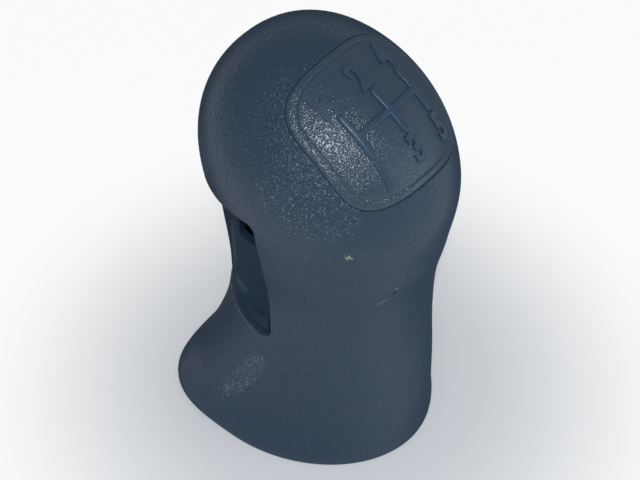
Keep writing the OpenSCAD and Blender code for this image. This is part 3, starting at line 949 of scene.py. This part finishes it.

# Marks on the shell: the nick, a shallow dent painted near black; the crease, a raised crease painted
# light as a painted highlight along it; the glint on the nick, a painted highlight; the chip and the
# speck, marks of use. Columns: label, place, turn, half size, colour, rise in metres and
# raggedness. Places and sizes are in mm.
SHELL_MARKS_AND_HIGHLIGHTS = (
    ("nick", (-8.6, -22.1, 58.1), (0.0, -0.95, -0.73), (1.9, 0.65, 0.65), (0.003, 0.013, 0.03),
     -0.0001, 1.8),
    # painted highlight: the crease's light colour stands for light along its raised ridge
    ("crease", (-10.75, -20.3, 55.4), (0.0, -0.56, -0.68), (2.8, 0.65, 0.65), (0.055, 0.095, 0.13),
     0.0002, 1.6),
    # painted highlight: a light dot where the nick catches the lamp
    ("glint on the nick", (-8.45, -22.4, 59.3), ZERO, (0.34, 0.34, 0.34), (0.2, 0.3, 0.4), 0.0, 0.4),
    ("chip", (-17.84, -16.92, 72.94), ZERO, (0.8, 0.8, 0.8), (0.25, 0.3, 0.2), 0.0, 2.6),
    ("speck", (-2.2, -24.6, 83.6), ZERO, (0.35, 0.35, 0.35), (0.3, 0.35, 0.38), 0.0, 0.3),
)

# Painted highlights along the trigger's rounded plate edge and along its wing's edge, with the same
# columns as the shell's marks.
TRIGGER_EDGE_HIGHLIGHTS = (
    ("painted edge highlight", (-16.1, 15.4, 52.0), ZERO, (1.0, 0.8, 10.5), (0.036, 0.062, 0.086), 0.0, 0.6),
    ("painted foot edge highlight", (-16.9, 13.0, 42.4), (0.0, -0.17, 1.24), (3.6, 0.9, 0.9), (0.032, 0.056, 0.078),
     0.0, 1.4),
)

# Patches where grains are painted bright as glints, a painted highlight: name, place, turn, half
# size and share of bright grains.
PAINTED_GLINT_PATCHES = (
    ("nose ridge", (-22.0, 8.9, 18.3), (0.0, -1.04, -1.32), (16.0, 5.0, 3.4), 0.33),
    ("head", (-20.2, -9.1, 86.0), ZERO, (15.0, 15.0, 15.0), 0.23),
    ("brow", (-17.0, 17.5, 82.0), ZERO, (9.0, 9.0, 9.0), 0.22),
)


class BuildShell(bpy.types.Operator):
    """Build the hollow shell with its window, its deck and its two guide ribs"""
    bl_idname = "gear_knob.shell"
    bl_label = "Shell"

    def execute(self, context):
        sizes = context.scene.knob_sizes
        shell = make_piece("shell_skin", *shell_sheet(sizes), finish("Grained shell"), KNOB,
                           "soft_plastic")
        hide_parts("knob_shell")
        inside = joined([deck_piece(sizes), *box_pair(RIB_X, RIB_Y, RIB_Z)])
        make_piece("shell_deck", *inside, finish("Smooth trigger"), KNOB, "soft_plastic")
        return {"FINISHED"}


class BuildCap(bpy.types.Operator):
    """Build the cap with its raised shift pattern"""
    bl_idname = "gear_knob.cap"
    bl_label = "Pattern cap"

    def execute(self, context):
        sizes = context.scene.knob_sizes
        cap = make_piece("cap_skin", *cap_sheet(sizes), finish("Grained cap"), KNOB, "soft_plastic")
        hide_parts("pattern_cap")
        pitch = sizes.column_x
        reach = sizes.figure_y - (sizes.figure_h + sizes.line_w) / 2 - PATTERN_GAP
        columns = [((x, -reach), (x, reach)) for x in (-pitch, 0.0, pitch)]
        ends = [((-pitch, 0.0), (pitch, 0.0)), *columns]
        lines = [ridge(start, end, sizes.line_w, sizes.line_h) for start, end in ends]
        make_piece("pattern_lines", *joined(lines), finish("Worn pattern with painted highlight"), KNOB, "soft_plastic")
        points, faces, count = [], [], 0
        for text, column, row in FIGURES:
            part, polygons = figure_mesh(text, column * pitch, row * sizes.figure_y, sizes.figure_h,
                                         sizes.line_h * FIGURE_RISE)
            faces += [[corner + count for corner in polygon] for polygon in polygons]
            points.append(part)
            count += len(part)
        add_piece("pattern_figures", np.concatenate(points), faces, finish("Worn pattern with painted highlight"), KNOB,
                  crease=50.0)
        return {"FINISHED"}


class BuildTrigger(bpy.types.Operator):
    """Build the trigger: its plate, sides and wings, and the collar with its hooks"""
    bl_idname = "gear_knob.trigger"
    bl_label = "Trigger"

    def execute(self, context):
        skin = trigger_sheet(context.scene.knob_sizes)
        trigger = make_piece("trigger_skin", *skin, finish("Smooth trigger"), TRIGGER,
                             "trigger_plastic")
        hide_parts("reverse_trigger")
        inside = [lathe(COLLAR_R, COLLAR_Z), *box_pair(HOOK_X, HOOK_Y, HOOK_Z),
                  *box_pair(TOE_X, HOOK_Y, TOE_Z)]
        make_piece("trigger_collar", *joined(inside), finish("Smooth trigger"), TRIGGER,
                   "trigger_plastic")
        return {"FINISHED"}


class FinishInside(bpy.types.Operator):
    """Give the core, the bush, the spring and the small steel parts their finishes"""
    bl_idname = "gear_knob.inside"
    bl_label = "Inner parts"

    def execute(self, context):
        steel = ("lever_bush", "return_spring", "spring_washer", "stop_ring", "core_screws")
        finishes = [("lever_core", "Moulded core", "core_plastic")]
        finishes += [(node, "Zinc steel", "steel") for node in steel]
        for node, material, slot in finishes:
            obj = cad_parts[node]
            obj.data.materials.clear()
            obj.data.materials.append(finish(material))
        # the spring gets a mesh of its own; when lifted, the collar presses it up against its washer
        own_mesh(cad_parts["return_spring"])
        return {"FINISHED"}


# Where the hot spot lies on the cap, in metres, and the place of the lamps that make it.
HOT_SPOT = Vector((-0.0131, -0.0083, 0.0955))
KEY_PLACE = HOT_SPOT + Vector((-0.506, -0.397, 0.766)) * 0.9

# Lamps: name, place, target, size in metres, power in watts and colour.
LAMPS = (
    ("key", KEY_PLACE, HOT_SPOT, 0.26, 1.2, (0.94, 0.99, 1.06)),
    ("glint", KEY_PLACE, HOT_SPOT, 0.06, 3.9, (0.94, 0.99, 1.06)),
    ("fill", (0.3, -0.85, 0.12), (0, 0, 0.04), 0.7, 2.1, (0.88, 1.0, 1.09)),
)

# Floor: half its width, the radii in metres between which its glow sets in, and the glow's share.
FLOOR_HALF = 2.0
GLOW_FROM = 0.03
GLOW_FULL = 0.09
GLOW_SHARE = 0.9

# Light of the room.
ROOM_COLOUR = (0.97, 0.985, 1.0, 1.0)
ROOM_STRENGTH = 0.36

# Camera: azimuth, elevation and roll in degrees, the point that it looks at, its shift to the side
# and its distance in mm, its focal length in pixels and its sensor in mm.
CAMERA_ANGLES = (-50.864, 47.571, 0.319)
TARGET = np.array([0.0, 8.0, 45.801])
SIDE_SHIFT = 2.54
DISTANCE = 380.0
FOCAL_PIXELS = 1727.35
PICTURE_WIDTH = 640.0
SENSOR_WIDTH = 36.0


def soft_light(name, place, target, size, power, colour):
    """A square area light at place that faces target, in metres and watts."""
    lamp = bpy.data.lights.new(name, "AREA")
    lamp.size = size
    lamp.energy = power
    lamp.color = colour
    obj = new_object(name, lamp)
    obj.location = place
    obj.rotation_euler = (Vector(target) - Vector(place)).to_track_quat("-Z", "Y").to_euler()


class BuildStage(bpy.types.Operator):
    """Build the floor, the lights, the background and the camera"""
    bl_idname = "gear_knob.stage"
    bl_label = "Stage"

    def execute(self, context):
        scene = context.scene
        scene.view_settings.view_transform = "Standard"
        self.floor(scene.knob_colours.floor)
        for lamp in LAMPS:
            soft_light(*lamp)
        scene.world = bpy.data.worlds.new("Soft room")
        scene.world.use_nodes = True
        tree = scene.world.node_tree
        feed(tree, tree.nodes["Background"], {"Color": ROOM_COLOUR, "Strength": ROOM_STRENGTH})
        self.camera(scene)
        return {"FINISHED"}

    def floor(self, colour):
        ends = (-FLOOR_HALF, FLOOR_HALF)
        mesh = bpy.data.meshes.new("floor")
        mesh.from_pydata([(ends[i], ends[j], 0) for i, j in RECTANGLE], [], [(0, 1, 2, 3)])
        material, tree, shader, place = new_material("Pale floor")
        feed(tree, shader, {"Base Color": (*colour, 1.0), "Roughness": 0.9,
                            "Specular IOR Level": 0.1})
        glow = tree.nodes.new("ShaderNodeEmission")
        path = tree.nodes.new("ShaderNodeLightPath").outputs
        # the glow shows in the picture and in reflections, and lights nothing
        seen = maths(tree, "MAXIMUM", path["Is Camera Ray"], path["Is Glossy Ray"])
        seen = maths(tree, "MAXIMUM", seen, path["Is Transmission Ray"])
        away = vectors(tree, "LENGTH", {0: place})
        open_floor = ramp(tree, away, GLOW_FROM, GLOW_FULL, 0.0, GLOW_SHARE)
        share = maths(tree, "MULTIPLY", seen, open_floor)
        mix = add_node(tree, "ShaderNodeMixShader",
                       {0: share, 1: shader.outputs[0], 2: glow.outputs[0]})
        feed(tree, tree.nodes["Material Output"], {"Surface": mix.outputs[0]})
        mesh.materials.append(material)
        new_object("floor", mesh)

    def camera(self, scene):
        """The camera. Back is the way from its target to it."""
        azimuth, elevation, roll = np.radians(CAMERA_ANGLES)
        back = np.array([np.sin(azimuth) * np.cos(elevation), -np.cos(azimuth) * np.cos(elevation),
                         np.sin(elevation)])
        level = np.array([np.cos(azimuth), np.sin(azimuth), 0.0])
        above = np.cross(back, level)
        right = level * np.cos(roll) + above * np.sin(roll)
        up = above * np.cos(roll) - level * np.sin(roll)
        place = (TARGET + SIDE_SHIFT * level + DISTANCE * back) * MM
        data = bpy.data.cameras.new("camera")
        data.sensor_width = SENSOR_WIDTH
        data.lens = FOCAL_PIXELS * SENSOR_WIDTH / PICTURE_WIDTH
        data.clip_start = 0.01
        obj = new_object("camera", data)
        pose = np.eye(4)
        pose[:3] = np.stack([right, up, back, place], 1)
        obj.matrix_world = Matrix(pose.tolist())
        scene.camera = obj


class GearKnobPanel(bpy.types.Panel):
    """Lists the steps and the sizes of the gear knob"""
    bl_idname = "VIEW3D_PT_gear_knob"
    bl_label = "Gear shift knob"
    bl_space_type = "VIEW_3D"
    bl_region_type = "UI"
    bl_category = "Gear knob"

    def draw(self, context):
        for step in STEPS:
            self.layout.operator(step.bl_idname)
        for group in (context.scene.knob_sizes, context.scene.knob_colours):
            for name in group.__annotations__:
                self.layout.prop(group, name)


STEPS = (BuildShell, BuildCap, BuildTrigger, FinishInside, BuildStage)
CLASSES = (KnobSizes, KnobColours, *STEPS, GearKnobPanel)


def register():
    for cls in CLASSES:
        bpy.utils.register_class(cls)
    bpy.types.Scene.knob_sizes = bpy.props.PointerProperty(type=KnobSizes)
    bpy.types.Scene.knob_colours = bpy.props.PointerProperty(type=KnobColours)


def unregister():
    del bpy.types.Scene.knob_colours
    del bpy.types.Scene.knob_sizes
    for cls in reversed(CLASSES):
        bpy.utils.unregister_class(cls)


def main():
    register()
    bpy.ops.gear_knob.shell()
    bpy.ops.gear_knob.cap()
    bpy.ops.gear_knob.trigger()
    bpy.ops.gear_knob.inside()
    bpy.ops.gear_knob.stage()


if __name__ == "__main__":
    main()
